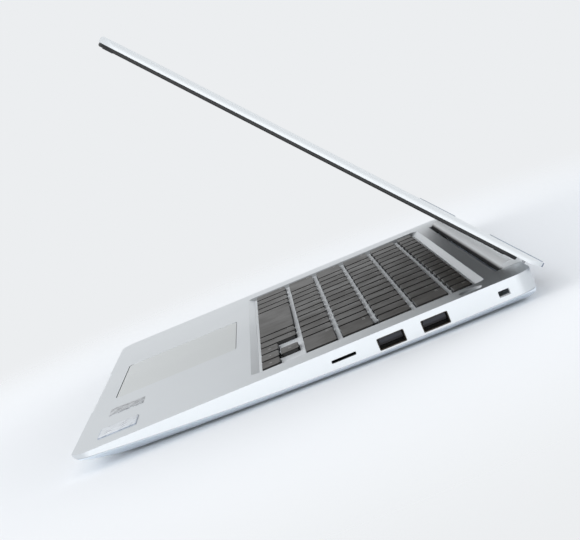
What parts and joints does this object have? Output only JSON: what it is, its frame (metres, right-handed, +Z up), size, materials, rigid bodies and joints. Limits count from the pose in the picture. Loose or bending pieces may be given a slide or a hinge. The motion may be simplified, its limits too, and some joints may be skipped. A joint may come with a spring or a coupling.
{
  "type": "laptop computer",
  "caption": "Thin clamshell laptop: wedge base with keyboard, touchpad and side sockets, and a hinged lid with the display, part way open.",
  "frame": {"origin": "middle of the open laptop's footprint, on the surface it stands on", "axes": "+X to the user's right, +Y from the user to the hinge, +Z up"},
  "size_m": [0.326, 0.2376, 0.1843],
  "materials": {
    "case_silver": "satin",
    "cover_grey": "satin",
    "bezel_black": "matt",
    "display_glass": "gloss",
    "keycap_grey": "matt",
    "touchpad_silver": "satin",
    "rubber_grey": "matt",
    "dome_rubber": "matt",
    "steel": "brushed",
    "screw_steel": "brushed",
    "board_green": "satin",
    "chip_black": "matt",
    "copper": "satin",
    "fan_black": "matt",
    "battery_black": "matt",
    "socket_blue": "satin",
    "socket_black": "satin",
    "socket_metal": "bright"
  },
  "bodies": {
    "base": {"top_case": "case_silver", "keyboard_frame": "case_silver", "keyboard_plate": "steel", "key_domes": "dome_rubber", "bottom_cover": "cover_grey", "front_feet": "rubber_grey", "rear_foot": "rubber_grey", "cover_screws": "screw_steel", "hinge_base_brackets": "steel", "hinge_screws": "screw_steel", "motherboard": "board_green", "processor": "chip_black", "heat_pipe": "copper", "heat_sink": "copper", "fan_housing": "fan_black", "battery_pack": "battery_black", "storage_module": "board_green", "memory_module": "board_green", "wireless_card": "board_green", "speakers": "chip_black", "usb_shells": "socket_metal", "usb_tongues": "socket_blue", "card_reader": "socket_metal", "lock_plate": "steel", "power_jack": "socket_black", "hdmi_socket": "socket_metal", "usb_c_socket": "socket_metal", "audio_jack": "socket_black", "touchpad_bracket": "steel"},
    "lid": {"lid_cover": "case_silver", "display_bezel": "bezel_black", "display_panel": "display_glass", "webcam_module": "chip_black", "lid_bumpers": "rubber_grey", "hinge_cover": "case_silver", "hinge_lid_brackets": "steel", "hinge_pins": "steel"},
    "rotor": {"fan_rotor": "fan_black"},
    "pad": {"touchpad": "touchpad_silver"},
    "power": {"power_button": "case_silver"},
    "cap_space": {"key_space": "keycap_grey"},
    "cap_modifier_left": {"keys_modifier_left": "keycap_grey"},
    "cap_modifier_right": {"keys_modifier_right": "keycap_grey"},
    "cap_arrow_left": {"key_arrow_left": "keycap_grey"},
    "cap_arrow_down": {"key_arrow_down": "keycap_grey"},
    "cap_arrow_right": {"key_arrow_right": "keycap_grey"},
    "cap_arrow_up": {"key_arrow_up": "keycap_grey"},
    "cap_shift_left": {"key_shift_left": "keycap_grey"},
    "cap_lower_row": {"keys_lower_row": "keycap_grey"},
    "cap_shift_right": {"key_shift_right": "keycap_grey"},
    "cap_caps_lock": {"key_caps_lock": "keycap_grey"},
    "cap_home_row": {"keys_home_row": "keycap_grey"},
    "cap_enter": {"key_enter": "keycap_grey"},
    "cap_tab": {"key_tab": "keycap_grey"},
    "cap_upper_row": {"keys_upper_row": "keycap_grey"},
    "cap_number_row": {"keys_number_row": "keycap_grey"},
    "cap_backspace": {"key_backspace": "keycap_grey"},
    "cap_escape": {"key_escape": "keycap_grey"},
    "cap_function_row": {"keys_function_row": "keycap_grey"}
  },
  "joints": [
    {"name": "lid_hinge", "type": "hinge", "parent": "base", "child": "lid", "pos_m": [0, 0.10783, 0.00754], "axis": [-1, 0, 0], "range_deg": [-49.5, 62.5]},
    {"name": "fan_spin", "type": "hinge", "parent": "base", "child": "rotor", "pos_m": [-0.093, 0.04886, 0.00551], "axis": [0, -0.0175, 0.9998], "continuous": true},
    {"name": "touchpad_click", "type": "hinge", "parent": "base", "child": "pad", "pos_m": [-0.01, -0.03615, 0.01122], "axis": [1, 0, 0], "range_deg": [0, 0.35], "stiffness_Nm_per_rad": 14},
    {"name": "power_press", "type": "slide", "parent": "base", "child": "power", "axis": [0, 0.0175, -0.9998], "range_m": [0, 0.0004], "stiffness_N_per_m": 400},
    {"name": "space_press", "type": "slide", "parent": "base", "child": "cap_space", "axis": [0, 0.0175, -0.9998], "range_m": [0, 0.0013], "stiffness_N_per_m": 300, "deforming": ["key_domes"]},
    {"name": "modifier_left_keys_press", "type": "slide", "parent": "base", "child": "cap_modifier_left", "axis": [0, 0.0175, -0.9998], "range_m": [0, 0.0013], "stiffness_N_per_m": 600, "deforming": ["key_domes"]},
    {"name": "modifier_right_keys_press", "type": "slide", "parent": "base", "child": "cap_modifier_right", "axis": [0, 0.0175, -0.9998], "range_m": [0, 0.0013], "stiffness_N_per_m": 300, "deforming": ["key_domes"]},
    {"name": "arrow_left_press", "type": "slide", "parent": "base", "child": "cap_arrow_left", "axis": [0, 0.0175, -0.9998], "range_m": [0, 0.0013], "stiffness_N_per_m": 150, "deforming": ["key_domes"]},
    {"name": "arrow_down_press", "type": "slide", "parent": "base", "child": "cap_arrow_down", "axis": [0, 0.0175, -0.9998], "range_m": [0, 0.0013], "stiffness_N_per_m": 150, "deforming": ["key_domes"]},
    {"name": "arrow_right_press", "type": "slide", "parent": "base", "child": "cap_arrow_right", "axis": [0, 0.0175, -0.9998], "range_m": [0, 0.0013], "stiffness_N_per_m": 150, "deforming": ["key_domes"]},
    {"name": "arrow_up_press", "type": "slide", "parent": "base", "child": "cap_arrow_up", "axis": [0, 0.0175, -0.9998], "range_m": [0, 0.0013], "stiffness_N_per_m": 150, "deforming": ["key_domes"]},
    {"name": "shift_left_press", "type": "slide", "parent": "base", "child": "cap_shift_left", "axis": [0, 0.0175, -0.9998], "range_m": [0, 0.0013], "stiffness_N_per_m": 150, "deforming": ["key_domes"]},
    {"name": "lower_row_keys_press", "type": "slide", "parent": "base", "child": "cap_lower_row", "axis": [0, 0.0175, -0.9998], "range_m": [0, 0.0013], "stiffness_N_per_m": 1500, "deforming": ["key_domes"]},
    {"name": "shift_right_press", "type": "slide", "parent": "base", "child": "cap_shift_right", "axis": [0, 0.0175, -0.9998], "range_m": [0, 0.0013], "stiffness_N_per_m": 150, "deforming": ["key_domes"]},
    {"name": "caps_lock_press", "type": "slide", "parent": "base", "child": "cap_caps_lock", "axis": [0, 0.0175, -0.9998], "range_m": [0, 0.0013], "stiffness_N_per_m": 150, "deforming": ["key_domes"]},
    {"name": "home_row_keys_press", "type": "slide", "parent": "base", "child": "cap_home_row", "axis": [0, 0.0175, -0.9998], "range_m": [0, 0.0013], "stiffness_N_per_m": 1650, "deforming": ["key_domes"]},
    {"name": "enter_press", "type": "slide", "parent": "base", "child": "cap_enter", "axis": [0, 0.0175, -0.9998], "range_m": [0, 0.0013], "stiffness_N_per_m": 150, "deforming": ["key_domes"]},
    {"name": "tab_press", "type": "slide", "parent": "base", "child": "cap_tab", "axis": [0, 0.0175, -0.9998], "range_m": [0, 0.0013], "stiffness_N_per_m": 150, "deforming": ["key_domes"]},
    {"name": "upper_row_keys_press", "type": "slide", "parent": "base", "child": "cap_upper_row", "axis": [0, 0.0175, -0.9998], "range_m": [0, 0.0013], "stiffness_N_per_m": 1950, "deforming": ["key_domes"]},
    {"name": "number_row_keys_press", "type": "slide", "parent": "base", "child": "cap_number_row", "axis": [0, 0.0175, -0.9998], "range_m": [0, 0.0013], "stiffness_N_per_m": 1950, "deforming": ["key_domes"]},
    {"name": "backspace_press", "type": "slide", "parent": "base", "child": "cap_backspace", "axis": [0, 0.0175, -0.9998], "range_m": [0, 0.0013], "stiffness_N_per_m": 150, "deforming": ["key_domes"]},
    {"name": "escape_press", "type": "slide", "parent": "base", "child": "cap_escape", "axis": [0, 0.0175, -0.9998], "range_m": [0, 0.0013], "stiffness_N_per_m": 150, "deforming": ["key_domes"]},
    {"name": "function_row_keys_press", "type": "slide", "parent": "base", "child": "cap_function_row", "axis": [0, 0.0175, -0.9998], "range_m": [0, 0.0013], "stiffness_N_per_m": 2250, "deforming": ["key_domes"]}
  ]
}
